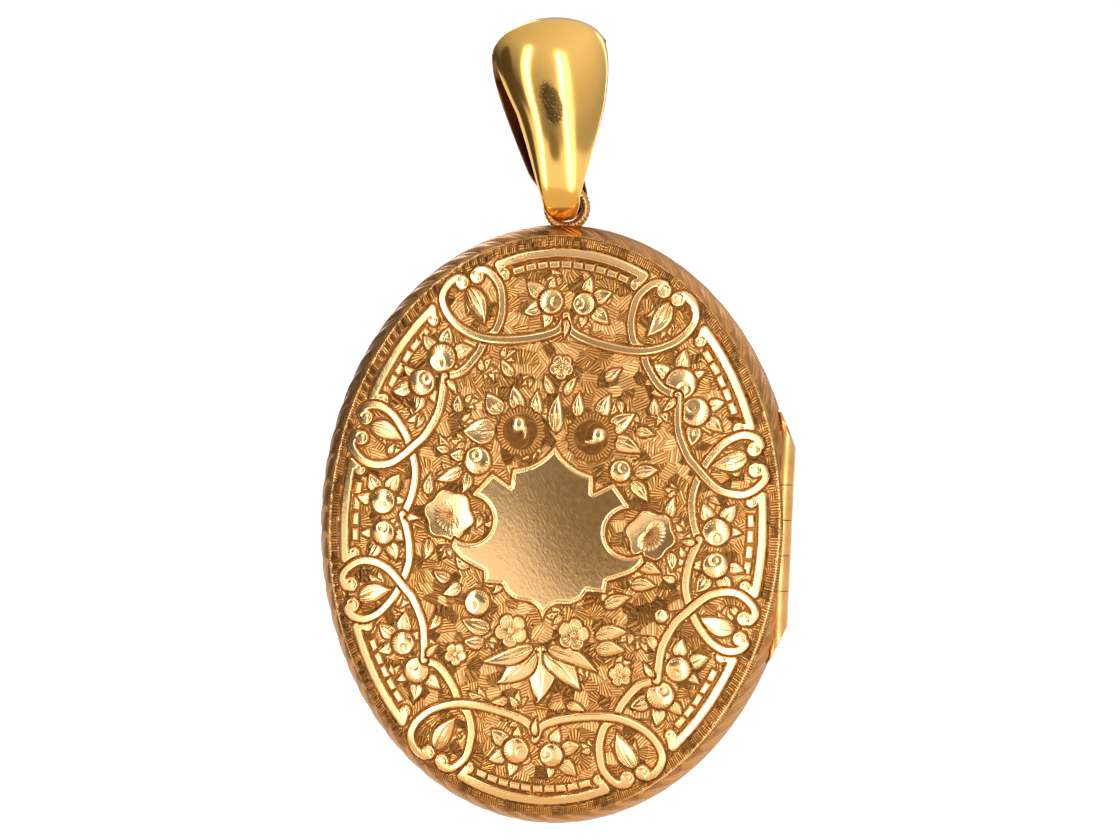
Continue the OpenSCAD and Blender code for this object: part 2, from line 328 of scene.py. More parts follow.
    def swirl(self, centre, radius, turn):
        """A dark round flower in a fringe of strokes, with a bright bead and its tapering curl."""
        at, x, y = self.around(centre, radius, 1.5, turn)
        r, angle = np.hypot(x, y), np.arctan2(y, x)
        edge = 1.34 + 0.06 * np.cos(angle * 14)
        ball = np.hypot(x - 0.4, y - 0.1) / 0.44
        head = smooth((1 - ball) / 0.2)
        bend, along = np.hypot(x + 0.1, y - 0.35), np.arctan2(y - 0.35, x + 0.1)
        run = np.clip((-0.45 - along) / 1.9, 0, 1)
        tail = smooth((0.26 * (1 - run) - abs(bend - 0.62)) / 0.07) * (along < -0.2)
        bead = np.maximum(head, tail * (r < 0.92))
        eye = np.exp(-((np.hypot(x - 0.46, y - 0.04) - 0.14) / 0.05) ** 2) * (x > 0.4)
        sweep = np.cos(3 * (angle + 2.2 * r))
        outside = smooth((r - 0.95) / 0.08)
        self.put(at, (edge - r) * radius,
                 0.12 * (1 - 0.6 * outside) + 0.08 * bead + 0.16 * np.clip(1 - ball ** 2, 0, 1),
                 phase=np.where(outside > 0.5, angle * 42 / TAU, sweep * 2),
                 lines=np.where(outside > 0.5, 0.9, 0.45) * (1 - bead),
                 shade=(1 - 0.35 * outside) * (1 - bead) + 0.5 * eye, polish=0.25 + 0.75 * bead)

    def bloom(self, centre, radius, turn):
        """An open flower: five petals with lines to a small boss."""
        at, x, y = self.around(centre, radius, 1.3)
        r, angle = np.hypot(x, y), np.arctan2(y, x) + turn
        lobe = abs(np.cos(5 * angle / 2))
        edge = 0.72 + 0.28 * lobe ** 0.6
        split = np.exp(-(lobe / 0.16) ** 2) * (r > 0.2)
        boss = r < 0.2
        self.put(at, (edge - r) * radius,
                 np.where(boss, 0.21, 0.15 * (0.55 + 0.45 * r)) - 0.07 * split,
                 phase=angle * 20 / TAU, lines=np.where(boss, 0, smooth((0.7 - r) / 0.4)),
                 shade=0.7 * split + 0.35 * smooth((0.5 - r) / 0.3) * ~boss, polish=0.8)

    def trumpet(self, centre, radius, turn):
        """A bindweed flower: a wide pale cup of petals, with lines that run into its throat, and painted
        shade round the throat.
        """
        at, x, y = self.around(centre, radius, 1.3)
        r, angle = np.hypot(x, y), np.arctan2(y, x)
        edge = 0.93 + 0.07 * np.cos(6 * angle + 1)
        in_x, in_y = x + 0.15 * math.cos(turn), y + 0.15 * math.sin(turn)
        in_r, in_angle = np.hypot(in_x, in_y), np.arctan2(in_y, in_x)
        facing = smooth(0.75 + 0.6 * np.cos(in_angle - turn))
        throat = smooth((0.75 * facing - in_r) / 0.35)
        # The shade given here is painted shade, darker towards the throat and reaching further on the side
        # the flower turns to.
        self.put(at, (edge - r) * radius, 0.09 + 0.1 * r ** 2 - 0.05 * throat,
                 phase=in_angle * 26 / TAU, lines=throat,
                 shade=0.5 * smooth((0.4 * facing - in_r) / 0.3), polish=0.95)

    def strap(self, line, width, curls, curl_r):
        """A flat band along a line, over whatever it crosses, with bulbs that it curls into."""
        low, high = line.min(0) - 1, line.max(0) + 1
        at = np.flatnonzero((self.u > low[0]) & (self.u < high[0])
                            & (self.v > low[1]) & (self.v < high[1]))
        pu, pv = self.u[at], self.v[at]
        found = np.full(len(at), FAR)
        for a, b in zip(line[:-1], line[1:]):
            middle = (a + b) / 2
            close = np.flatnonzero((abs(pu - middle[0]) < 1.2) & (abs(pv - middle[1]) < 1.2))
            found[close] = np.minimum(found[close], gap_to(pu[close], pv[close], a, b))
        inside, curl = width / 2 - found, np.zeros(len(at))
        for spot in curls:
            du, dv = pu - spot[0], pv - spot[1]
            r = np.hypot(du, dv)
            inside = np.maximum(inside, curl_r - r)
            curl += np.exp(-((r - 0.55 * curl_r) / 0.05) ** 2) * (np.cos(np.arctan2(dv, du) - 1) > -0.2)
        self.put(at, inside, 0.2 - 0.05 * curl, shade=0.6 * curl, polish=1.0)

    def tooth(self, centre, angle):
        """One small block of the dentil course."""
        at = self.near(centre, TOOTH_LEN)
        du, dv = self.u[at] - centre[0], self.v[at] - centre[1]
        s = abs(du * math.cos(angle) + dv * math.sin(angle))
        t = abs(dv * math.cos(angle) - du * math.sin(angle))
        inside = np.minimum(TOOTH_LEN / 2 - s, TOOTH_DEEP / 2 - t)
        self.put(at, inside, 0.13, shade=0.1)

    def plaque(self, outline):
        """The plain field in the middle, with its double outline."""
        at = self.near((0, 0), FAR)
        pu, pv = self.u[at], self.v[at]
        inside, dist = np.zeros(len(at), bool), np.full(len(at), FAR)
        for a, b in zip(outline, np.roll(outline, -1, axis=0)):
            step = b - a
            crosses = (a[1] > pv) != (b[1] > pv)
            rise = np.where(abs(step[1]) > 1e-9, step[1], 1e-9)
            inside ^= crosses & (pu < a[0] + (pv - a[1]) * step[0] / rise)
            dist = np.minimum(dist, gap_to(pu, pv, a, b))
        depth = np.where(inside, dist, -dist)
        rim = np.exp(-((depth - 0.07) / 0.055) ** 2)
        line = np.exp(-((depth - 0.2) / 0.04) ** 2)
        self.put(at, depth, 0.1 + 0.08 * rim - 0.05 * line, shade=0.5 * line, polish=1.0)


# What is engraved. Only one corner of the strapwork is listed: the rest mirrors it.
CROWN_OVER = [(0, 14.6), (-0.6, 13.5), (-2.8, 12.8), (-5.3, 12.6), (-7.1, 13.1), (-8.25, 14),
              (-8.8, 15.1), (-8.5, 16.1), (-7.8, 16.6), (-7.5, 16.3)]
CROWN_UNDER = [(-8.1, 9.8), (-6.9, 10.25), (-5.85, 11.6), (-5.45, 12.6), (-4.8, 13.2), (-4.5, 14.2),
               (-4.5, 15.1), (-4.8, 16.3), (-5.7, 17.2), (-6.5, 17.2), (-6.5, 16.8)]
FLANK_OVER = [(-8.1, 9.8), (-8.3, 7.5), (-9.05, 5.8), (-9.75, 5), (-11.25, 3.65), (-12.8, 3.35),
              (-13.8, 3.8), (-14.4, 4.6), (-14.1, 5.3), (-13.7, 5.1)]
FLANK_UNDER = [(-10.3, -0.1), (-9.8, 1.3), (-9.6, 2.7), (-9.75, 3.75), (-10.3, 5.2), (-10.8, 6),
               (-11.6, 6.9), (-12.6, 7.4), (-13.5, 7.3), (-13.9, 6.8), (-13.5, 6.5)]
STRAP_W, STRAP_CURL_R = 0.56, 0.52
BRACKETS = [(0, 10.3), (37.2, 12.2), (90, 20.4), (142.8, 12.2), (180, 10.3), (217.2, 12.2),
            (270, 20.4), (322.8, 12.2)]  # middle and half length, in degrees round the oval
BRACKET_W, BRACKET_H = 14.5, 18.9
BRACKET_STRAP, BRACKET_CURL_R = 0.62, 0.42
TOOTH_W, TOOTH_H, TOOTH_PITCH = 13.7, 18.1, 0.94
BORDER_W, BORDER_H, BORDER_DEEP = 15.0, 19.35, 0.72
SPRIGS = 130
FLOWER_PAIRS = [((-1.15, 15.5), (1.15, 15.5), 0.85), ((-8.4, 11.05), (-9.65, 9.25), 0.98),
                ((8.2, 10.6), (9.35, 8.75), 1.05), ((-11.8, 0.9), (-11.6, -1.3), 0.9),
                ((11.4, 0.7), (11.5, -1.6), 0.95), ((-8.6, -10.6), (-9.7, -8.8), 0.9),
                ((8.4, -10.8), (9.5, -8.9), 0.95), ((-1.3, -15.5), (1.2, -15.6), 0.9)]
SWIRLS = [((-2.45, 6.5), 1.22, 1.7), ((2.45, 6.5), 1.22, 0.1)]
ROSES = [((-5.3, 4.25), 0.95, 1.9), ((4.6, 4.35), 0.75, 0.9),
         ((-4.6, -5.45), 0.9, 3.6), ((8.1, -5.3), 0.5, 0.2)]
TRUMPETS = [((-7.0, 0.35), 1.8, -2.6), ((7.0, 0.15), 1.75, -0.6)]
BLOOMS = [((-2.1, -7.2), 1.15, 0.4), ((2.2, -7.1), 1.1, 1.1), ((-5.9, -9.2), 0.8, 0.2),
          ((5.6, -9.6), 0.8, 0.7), ((0, 11.1), 0.85, 0.3)]
LEAVES = [((-4.2, 6.5), (-6.5, 6.2), 1.7), ((-3.9, 7.6), (-5.0, 8.9), 1.2),
          ((-6.2, 4.6), (-7.3, 4.5), 0.8), ((-6.3, 3.6), (-8.1, 2.7), 0.9),
          ((-5.9, 3.4), (-6.2, 1.9), 0.8), ((3.6, 6.9), (5.3, 8.3), 1.2), ((3.8, 6.4), (5.9, 5.7), 1.1),
          ((2.9, 7.8), (3.5, 9.5), 1.0), ((5.4, 7.1), (6.7, 7.0), 0.7), ((5.6, 4.2), (7.2, 4.6), 0.9),
          ((5.4, 3.7), (6.6, 2.4), 0.9), ((8.2, 1.4), (8.4, 2.9), 0.7), ((-2.6, 7.9), (-3.2, 9.6), 1.0),
          ((-1.4, 7.7), (-1.5, 9.4), 0.8), ((1.5, 7.7), (1.4, 9.5), 0.8), ((0, 6.6), (0, 9.3), 1.0),
          ((-0.4, 9.2), (-1.1, 10.5), 0.6), ((0.4, 9.2), (1.1, 10.5), 0.6),
          ((-6.6, -4.1), (-7.8, -3.6), 0.8), ((-5.8, -4.4), (-7.1, -5.1), 0.9),
          ((-5.4, -3.2), (-6.3, -2.3), 0.8), ((-3.6, -7.3), (-5.6, -6.7), 1.1),
          ((-3.9, -8.2), (-5.4, -8.2), 0.9), ((3.7, -7.1), (5.9, -6.6), 1.0),
          ((3.8, -8.0), (5.8, -7.9), 1.0), ((4.2, -5.0), (5.9, -4.2), 0.9),
          ((5.9, -3.4), (7.6, -3.3), 0.9), ((6.3, -2.0), (7.9, -2.4), 0.8), ((0, -8.0), (0, -12.1), 2.0),
          ((-0.3, -8.5), (-2.9, -10.9), 1.6), ((0.3, -8.5), (2.9, -10.9), 1.6),
          ((-0.5, -8.2), (-4.0, -9.5), 1.1), ((0.5, -8.2), (4.0, -9.5), 1.1),
          ((-7.2, -6.6), (-7.9, -7.7), 0.7), ((7.3, -6.8), (8.0, -7.9), 0.7),
          ((-6.9, 7.4), (-7.0, 8.7), 0.7), ((6.7, 8.3), (6.5, 9.5), 0.7),
          ((-3.3, 10.2), (-4.2, 11.3), 0.7), ((3.1, 10.4), (4.1, 11.3), 0.7),
          ((-8.3, -1.4), (-8.5, -2.9), 0.8), ((8.4, -0.9), (8.6, -2.2), 0.7),
          ((-2.0, -12.0), (-3.4, -12.4), 0.6), ((2.0, -12.0), (3.4, -12.4), 0.6),
          ((-8.6, 1.6), (-8.5, 3.1), 0.7)]
# Down one side of the plain field: smooth runs that meet in sharp corners
PLAQUE_TOP = [[(0, 5.7), (-0.7, 4.85), (-1.65, 4.2), (-2.8, 3.85)],
              [(-2.88, 2.7)], [(-4.2, 3.5)], [(-5.45, 2.0)]]
PLAQUE_FOOT = [[(-6.7, -1.75), (-5.9, -2.55), (-4.3, -3.25)], [(-4.2, -4.05)],
               [(-2.95, -4.05), (-2.6, -4.6)],
               [(-2.6, -4.6), (-1.9, -5.0), (-0.95, -5.1), (-0.3, -5.55), (0, -6.3)]]
PLAQUE_SCROLL, PLAQUE_SCROLL_R = (-5.55, 0.2), 1.65


def plaque_outline():
    """Down the left side, round its scroll, and back up the right."""
    turn = np.radians(np.linspace(85, -125, 22))
    scroll = np.stack([PLAQUE_SCROLL[0] + PLAQUE_SCROLL_R * np.cos(turn),
                       PLAQUE_SCROLL[1] + PLAQUE_SCROLL_R * np.sin(turn)], axis=1)
    above, below = ([curve_through(run) if len(run) > 2 else run for run in part]
                    for part in (PLAQUE_TOP, PLAQUE_FOOT))
    left = np.vstack(above + [scroll] + below)
    right = left[-2:0:-1] * (-1, 1)
    return np.vstack([left, right])


def mirrored(points, flip_u, flip_v):
    return np.array(points, float) * (flip_u, flip_v)


def on_oval(w, h, degrees):
    angle = np.radians(degrees)
    return np.stack([w * np.cos(angle), h * np.sin(angle)], axis=-1)


def engrave_brackets(work):
    for middle, half in BRACKETS:
        arc = on_oval(BRACKET_W, BRACKET_H, np.linspace(middle - half, middle + half, 40))
        curls = []
        for end, sign in ((arc[0], 1), (arc[-1], -1)):
            inward = -end / np.hypot(*end)
            along = sign * np.array([inward[1], -inward[0]])
            curls.append(end + inward * 0.75 + along * 0.3)
        work.strap(np.vstack([curls[0], arc, curls[1]]), BRACKET_STRAP, curls, BRACKET_CURL_R)


def engrave_teeth(work):
    mean = (TOOTH_W + TOOTH_H) / 2
    for middle, half in BRACKETS:
        span = 2 * math.radians(half) * mean - 1.4
        count = int(span / TOOTH_PITCH)
        for k in range(count):
            degrees = middle + math.degrees((k - (count - 1) / 2) * TOOTH_PITCH / mean)
            centre = on_oval(TOOTH_W, TOOTH_H, degrees)
            ahead = on_oval(TOOTH_W, TOOTH_H, degrees + 1) - centre
            work.tooth(centre, math.atan2(ahead[1], ahead[0]))


def engrave_spray(work, a, b, radius):
    """A pair of roses with leaves round them."""
    a, b = np.array(a), np.array(b)
    axis = math.atan2(*(b - a)[::-1])
    for centre, facing in ((a, axis + math.pi), (b, axis)):
        for off, length, width in ((-0.6, 1.3, 1.0), (0.45, 1.2, 0.95), (1.4, 1.05, 0.8), (-1.6, 0.8, 0.6)):
            way = np.array([math.cos(facing + off), math.sin(facing + off)])
            work.leaf(centre + way * radius * 0.8, centre + way * (radius + length), width)
    work.rose(a, radius, turn=axis)
    work.rose(b, radius * 0.92, turn=axis + math.pi)


def engrave_hearts(work):
    """The strapwork loops, each with a leaf and two leaflets inside."""
    for flip_u in (1, -1):
        for flip_v in (1, -1):
            for root, tip in (((-7.0, 16.0), (-5.6, 13.6)), ((-13.1, 6.0), (-10.7, 5.2))):
                root, tip = mirrored(root, flip_u, flip_v), mirrored(tip, flip_u, flip_v)
                way = tip - root
                side = np.array([-way[1], way[0]]) * 0.3
                work.leaf(root, root + way * 0.6 + side, 0.6, lift=0.08)
                work.leaf(root, root + way * 0.6 - side, 0.6, lift=0.08)
                work.leaf(root, tip, 1.25, lift=0.19)
            for under, over in ((CROWN_UNDER, CROWN_OVER), (FLANK_UNDER, FLANK_OVER)):
                for points in (under, over):
                    line = curve_through(mirrored(points, flip_u, flip_v), 8)
                    work.strap(line, STRAP_W, line[-1:], STRAP_CURL_R)


def engrave_buds(work):
    for middle in (90, 270):
        tip = on_oval(13.6, 14.4, middle)
        work.leaf(tip, tip * 0.91, 0.5)
    for u, v in ((-8.1, 9.8), (-10.3, -0.1)):
        for flip_u in (1, -1):
            for flip_v in ((1, -1) if v > 1 else (1,)):
                spot = mirrored((u, v), flip_u, flip_v)
                work.leaf(spot * 0.98, spot * 0.88, 0.5)


def engrave(u, v, seed):
    work = Engraving(u, v)
    work.ground(seed)
    work.sprigs(seed + 1, SPRIGS)
    work.border(BORDER_W, BORDER_H, BORDER_DEEP)
    engrave_brackets(work)
    engrave_teeth(work)
    for base, tip, width in LEAVES:
        work.leaf(base, tip, width)
    for centre, radius, turn in TRUMPETS:
        work.trumpet(centre, radius, turn)
    work.plaque(plaque_outline())
    for centre, radius, turn in BLOOMS:
        work.bloom(centre, radius, turn)
    for centre, radius, turn in SWIRLS:
        work.swirl(centre, radius, turn)
    for centre, radius, turn in ROSES:
        work.rose(centre, radius, turn)
    for a, b, radius in FLOWER_PAIRS:
        engrave_spray(work, a, b, radius)
    engrave_hearts(work)
    engrave_buds(work)
    return work


# ---------- materials ----------


class Shader:
    """A material's node tree, with short calls for the nodes used here."""

    def __init__(self, name, **uniform):
        self.material = bpy.data.materials.new(name)
        self.material.use_nodes = True
        self.tree = self.material.node_tree
        self.surface = self.tree.nodes["Principled BSDF"]
        for socket, value in uniform.items():
            self.surface.inputs[socket.replace("_", " ")].default_value = value

    def node(self, kind, inputs=(), **settings):
        made = self.tree.nodes.new(kind)
        for key, value in settings.items():
            setattr(made, key, value)
        for key, value in dict(inputs).items():
            if isinstance(value, bpy.types.NodeSocket):
                self.tree.links.new(value, made.inputs[key])
            else:
                made.inputs[key].default_value = value
        return made

    def math(self, operation, *values, clamp=False):
        made = self.node("ShaderNodeMath", enumerate(values), operation=operation, use_clamp=clamp)
        return made.outputs[0]

    def mark(self, name):
        return self.node("ShaderNodeAttribute", attribute_name=name).outputs["Fac"]

    def noise(self, scale, detail=3.0, stretch=(1, 1, 1), turn=0.0):
        """Noise stretched along its own axes, which are first turned in the case's plane."""
        place = self.node("ShaderNodeTexCoord").outputs["Object"]
        place = self.node("ShaderNodeMapping", {"Vector": place, "Rotation": (0, turn, 0)}).outputs[0]
        scaled = self.node("ShaderNodeMapping", {"Vector": place, "Scale": stretch}).outputs[0]
        inputs = {"Vector": scaled, "Scale": scale, "Detail": detail}
        return self.node("ShaderNodeTexNoise", inputs).outputs["Fac"]

    def blend(self, amount, low, high):
        """From low, a colour or a socket, to the colour high."""
        start = (*low, 1) if isinstance(low, tuple) else low
        made = self.node("ShaderNodeMix", {0: amount, 6: start, 7: (*high, 1)}, data_type="RGBA")
        return made.outputs[2]

    def span(self, value, low, high, to_low, to_high):
        inputs = {0: value, 1: low, 2: high, 3: to_low, 4: to_high}
        return self.node("ShaderNodeMapRange", inputs, interpolation_type="SMOOTHSTEP").outputs[0]

    def bump(self, height, distance):
        made = self.node("ShaderNodeBump", {"Height": height, "Distance": distance, "Strength": 1.0})
        self.link("Normal", made.outputs[0])

    def link(self, socket, value):
        self.tree.links.new(value, self.surface.inputs[socket])


PALE = (0.96, 0.58, 0.25)
WARM = (0.70, 0.32, 0.085)
DEEP = (0.07, 0.020, 0.003)
BAND_GROUND = (0.55, 0.26, 0.085)
YELLOW = (0.93, 0.56, 0.15)
YELLOW_WORN = (0.88, 0.49, 0.12)
# painted shade for the inside face of the hollow bail
BAIL_INSIDE_SHADE = (0.2, 0.085, 0.035)
# the colour of the dark speckled patch painted on the bail's front
DARK_SPOT_TONE = (0.10, 0.058, 0.016)


def scratches(shader):
    """Fine hairlines across a curly mottle, as a height from 0 to 1."""
    hairs = shader.noise(6500, 3, (1, 0.05, 0.35), turn=0.55)
    curls = shader.noise(3600, 4, (1, 0.05, 1))
    return shader.math("MULTIPLY", hairs, curls)


def engraved_gold(name, raised, ground):
    shader = Shader(name, Metallic=1.0)
    lines, phase = shader.mark("lines"), shader.mark("phase")
    wave = shader.math("SINE", shader.math("MULTIPLY", phase, TAU))
    groove = shader.span(wave, -0.2, 0.9, 0, 1)
    cut = shader.math("MULTIPLY", groove, lines)
    mottle = shader.noise(2600, 4)
    # The shade mark, the strokes' cuts and a mottle darken the gold towards DEEP: patina in the cuts,
    # random tone, and painted shade and painted shadow where the motifs carry them.
    patina_and_shade = shader.math("MULTIPLY_ADD", cut, 0.5, shader.mark("shade"))
    patina_and_shade = shader.math("MULTIPLY_ADD", shader.math("SUBTRACT", mottle, 0.5), 0.35, patina_and_shade, clamp=True)
    tone = shader.blend(shader.span(patina_and_shade, 0.1, 0.7, 0, 1), raised, ground)
    shader.link("Base Color", shader.blend(shader.span(patina_and_shade, 0.7, 1.15, 0, 1), tone, DEEP))
    polish = shader.mark("polish")
    grain = shader.math("MULTIPLY_ADD", mottle, 0.12, shader.span(polish, 0, 1, 0.3, 0.1))
    shader.link("Roughness", grain)
    relief = shader.math("MULTIPLY_ADD", cut, -1.0, shader.math("MULTIPLY", scratches(shader), 0.16))
    shader.bump(relief, 0.055 * MM)
    return shader.material


def polished_gold():
    shader = Shader("polished_gold", Metallic=1.0)
    cloud = shader.noise(260, 4)
    mottle = shader.noise(9000, 3)
    # A dark speckled patch painted on the bail's front, where the mark is high, and rougher there.
    speckle = shader.math("MULTIPLY_ADD", shader.math("SUBTRACT", mottle, 0.5), 2.2, shader.mark("wear"))
    spot_amount = shader.span(speckle, 0.25, 0.95, 0, 0.97)
    tone = shader.blend(cloud, YELLOW, YELLOW_WORN)
    # The inside face of the folded strap is painted dark brown: painted shade in the hollow bail.
    tone = shader.blend(shader.mark("inner"), tone, BAIL_INSIDE_SHADE)
    shader.link("Base Color", shader.blend(spot_amount, tone, DARK_SPOT_TONE))
    rough = shader.math("MULTIPLY_ADD", spot_amount, 0.12, shader.span(cloud, 0.3, 0.7, 0.13, 0.2))
    shader.link("Roughness", rough)
    shader.bump(scratches(shader), 0.003 * MM)
    return shader.material


def plain_gold(name, tone, rough):
    """Gold that is only brushed: rims, frames, knuckles and wire."""
    shader = Shader(name, Metallic=1.0)
    cloud = shader.noise(700, 4)
    brushed = shader.noise(1500, 2, (1, 1, 0.12))
    shader.link("Base Color", shader.blend(shader.span(cloud, 0.35, 0.75, 0, 0.8), tone, WARM))
    sheen = shader.span(brushed, 0.3, 0.7, rough, rough + 0.08)
    shader.link("Roughness", shader.math("MULTIPLY_ADD", cloud, 0.14, sheen))
    shader.bump(brushed, 0.006 * MM)
    return shader.material


def crystal_glass():
    shader = Shader("crystal", Transmission_Weight=1.0, IOR=1.5)
    shader.link("Roughness", shader.span(shader.noise(500), 0.3, 0.8, 0.0, 0.05))
    shader.link("Base Color", shader.blend(shader.noise(200), (0.97, 0.99, 1.0), (0.93, 0.97, 0.98)))
    return shader.material


def blank_card():
    shader = Shader("card", Roughness=0.85)
    fibre = shader.noise(2500, 6, (1, 1, 0.35))
    age = shader.noise(120, 3)
    tone = shader.blend(shader.span(age, 0.4, 0.75, 0, 1), (0.83, 0.78, 0.66), (0.70, 0.60, 0.44))
    shader.link("Base Color", shader.blend(shader.math("MULTIPLY", fibre, 0.2), tone, (0.5, 0.42, 0.3)))
    shader.bump(fibre, 0.01 * MM)
    return shader.material


COVER_GOLD = engraved_gold("engraved_gold", PALE, WARM)
BAND_GOLD = engraved_gold("case_gold", WARM, BAND_GROUND)
BAIL_GOLD = polished_gold()
RIM_GOLD = plain_gold("inner_gold", (0.90, 0.58, 0.24), 0.2)
HINGE_GOLD = plain_gold("hinge_gold", (0.82, 0.47, 0.17), 0.24)
WIRE_GOLD = plain_gold("pin_gold", (0.55, 0.30, 0.11), 0.28)
GLASS = crystal_glass()
CARD = blank_card()


# ---------- covers and side bands ----------

PATTERN_TURN = math.radians(1.75)  # the engraving sits a little clockwise on the case
COVER_GRID = 600
RELIEF = 0.15  # how far the ground lies under the solid's dome, so the relief stays in its box
COVER_SEED = {FRONT: 7, BACK: 11}
HOLLOW_RINGS = (1, 0.995, 0.98, 0.94, 0.85, 0.65, 0.35)  # of the inner face, from the edge inwards
MARKS = ("phase", "lines", "shade", "polish")


def square_on_disc(n):
    """An n by n square laid evenly over the unit disc."""
    a, b = np.meshgrid(np.linspace(-1, 1, n), np.linspace(-1, 1, n))
    wide = abs(a) > abs(b)
    radius, other = np.where(wide, a, b), np.where(wide, b, a)
    ratio = np.divide(other, radius, out=np.zeros_like(radius), where=radius != 0)
    angle = np.where(wide, math.pi / 4 * ratio, math.pi / 2 - math.pi / 4 * ratio)
    return (radius * np.cos(angle)).ravel(), (radius * np.sin(angle)).ravel()


def dome(share, rise):
    return BAND_RISE + (rise - BAND_RISE) * np.clip(1 - share ** 2, 0, 1) ** DOME_POWER


def add_cover(name, side, body, stands_for):
    n = COVER_GRID
    x, y = square_on_disc(n)
    p, q = COVER_W * x, COVER_H * y
    facing = p * -side  # the pattern as seen from outside
    u = facing * math.cos(PATTERN_TURN) - q * math.sin(PATTERN_TURN)
    v = facing * math.sin(PATTERN_TURN) + q * math.cos(PATTERN_TURN)
    work = engrave(u, v, COVER_SEED[side])
    share = np.hypot(x, y)
    d = dome(share, COVER_RISE - RELIEF) + work.height * smooth((1 - share) / 0.02)
    outside = np.stack([p, q, d], axis=1)
    index = np.arange(n * n).reshape(n, n)
    quads = np.stack([index[:-1, :-1], index[:-1, 1:], index[1:, 1:], index[1:, :-1]], axis=2)
    edge = np.concatenate([index[0, :-1], index[:-1, -1], index[-1, :0:-1], index[:0:-1, 0]])
    inner_rise = COVER_RISE - RELIEF - SHEET
    hollow = [np.stack([x[edge] * (COVER_W - SHEET) * f, y[edge] * (COVER_H - SHEET) * f,
                        np.full(len(edge), dome(f, inner_rise))], axis=1)
              for f in HOLLOW_RINGS]
    rings = np.vstack([outside[edge]] + hollow + [[[0, 0, inner_rise]]])
    count = len(edge)
    shift = n * n - count
    walls = np.array(tube_faces(len(hollow) + 1, count, False)) + shift
    walls[walls < n * n] = edge[walls[walls < n * n] - shift]
    last = n * n + (len(hollow) - 1) * count
    around = np.arange(count)
    cap = np.stack([last + around, last + (around + 1) % count,
                    np.full(count, last + count)], axis=1)
    points = np.vstack([outside, rings[count:]])
    plain = len(points) - n * n
    marks = {k: np.concatenate([getattr(work, k), np.zeros(plain)]) for k in MARKS}
    faces = quads.reshape(-1, 4).tolist() + walls.tolist() + cap.tolist()
    add_piece(name, from_half(points, side), faces, body, COVER_GOLD,
              [stands_for], 180, marks)


BAND_STEPS, BAND_ROWS = 1500, 15
CUT_PITCH = 1.86  # spacing of the leaf-shaped cuts round the side band
CUT_SLANT, CUT_DEEP = 1.25, 0.11
HINGE_CLEAR = TUBE_R + 0.07  # radius of the groove round the hinge's tube
GROOVE_WALL = 0.05  # how far the band's inner face stays behind that groove
END_CLEAR = 0.1  # how far the groove runs past the tube's ends
NAIL_R, NAIL_DEEP, NAIL_LEN = 0.3, 0.28, 3  # half the groove for a fingernail


def hinge_clear(points, deepest=False):
    """Cuts the band flat behind the hinge, with a groove round its tube, or behind all of that."""
    p, q, d = np.moveaxis(points, -1, 0)
    reach = np.sqrt(np.maximum(HINGE_CLEAR ** 2 - d ** 2, 0))
    limit = np.minimum(PIN[0] - reach, CHORD)
    if deepest:
        limit = PIN[0] - HINGE_CLEAR - GROOVE_WALL
    p = np.where(abs(q) < HINGE_END + END_CLEAR, np.minimum(p, limit), p)
    return np.stack([p, q, d], axis=-1)


def nail_groove(points):
    """Scoops the seam's edge, opposite the hinge."""
    p, q, d = np.moveaxis(points, -1, 0)
    at = (p < -HALF_W * 0.9) & (d < NAIL_R) & (abs(q) < NAIL_LEN)
    scoop = NAIL_DEEP * np.sqrt(np.clip(1 - (d / NAIL_R) ** 2, 0, 1)) * smooth((NAIL_LEN - abs(q)) / 0.6)
    return np.stack([np.where(at, p + scoop, p), q, d], axis=-1)


def add_band(name, side, body, stands_for):
    """A side band, with leaf-shaped cuts slanting round it, each with a raised vein."""
    across = np.linspace(0, 1, BAND_ROWS)
    inset = LEAN * across ** 2.2
    depth = SEAM_GAP + (BAND_RISE - SEAM_GAP) * (1 - (1 - across) ** 1.15)
    t = np.arange(BAND_STEPS) * TAU / BAND_STEPS
    steps = np.hypot(HALF_W * np.diff(np.cos(t)), HALF_H * np.diff(np.sin(t)))
    arc = np.concatenate([[0], np.cumsum(steps)])
    arc = arc * round((arc[-1] + arc[1]) / CUT_PITCH) / (arc[-1] + arc[1])
    slant = (arc[:, None] - side * CUT_SLANT * across[None, :]) % 1
    lens = np.sin(math.pi * across) ** 0.6
    leaf = np.clip(1 - (abs(slant - 0.5) / 0.42 / np.maximum(lens, 0.05)) ** 2, 0, 1)
    vein = np.exp(-((slant - 0.5) / 0.05) ** 2) * leaf
    sink = CUT_DEEP * (leaf - 0.6 * vein) * (lens > 0.2)
    narrower = inset + sink * 0.9
    outer = np.stack([(HALF_W - narrower) * np.cos(t)[:, None], (HALF_H - narrower) * np.sin(t)[:, None],
                      depth - sink * 0.3], axis=2)
    inner = np.stack([np.stack([(HALF_W - BAND_WALL) * np.cos(t), (HALF_H - BAND_WALL) * np.sin(t),
                                np.full(BAND_STEPS, d)], axis=1) for d in (BAND_RISE, SEAM_GAP)], axis=1)
    grid = nail_groove(np.concatenate([hinge_clear(outer), hinge_clear(inner, deepest=True)], axis=1))
    marks = dict(zip(MARKS, (4 * slant, 0.5 * leaf, 0.35 + 0.5 * (1 - leaf), 0.4 * leaf)))
    plain = np.zeros((BAND_STEPS, 2))
    marks = {k: np.concatenate([v, plain], axis=1).ravel() for k, v in marks.items()}
    faces = tube_faces(BAND_STEPS, grid.shape[1], True)
    add_piece(name, from_half(grid.reshape(-1, 3), side), faces, body, BAND_GOLD,
              [stands_for], 60, marks)


add_cover("engraved_front", FRONT, "front_case", "front_cover")
add_cover("engraved_back", BACK, "back_case", "back_cover")
add_band("front_side_band", FRONT, "front_case", "front_band")
add_band("back_side_band", BACK, "back_case", "back_band")


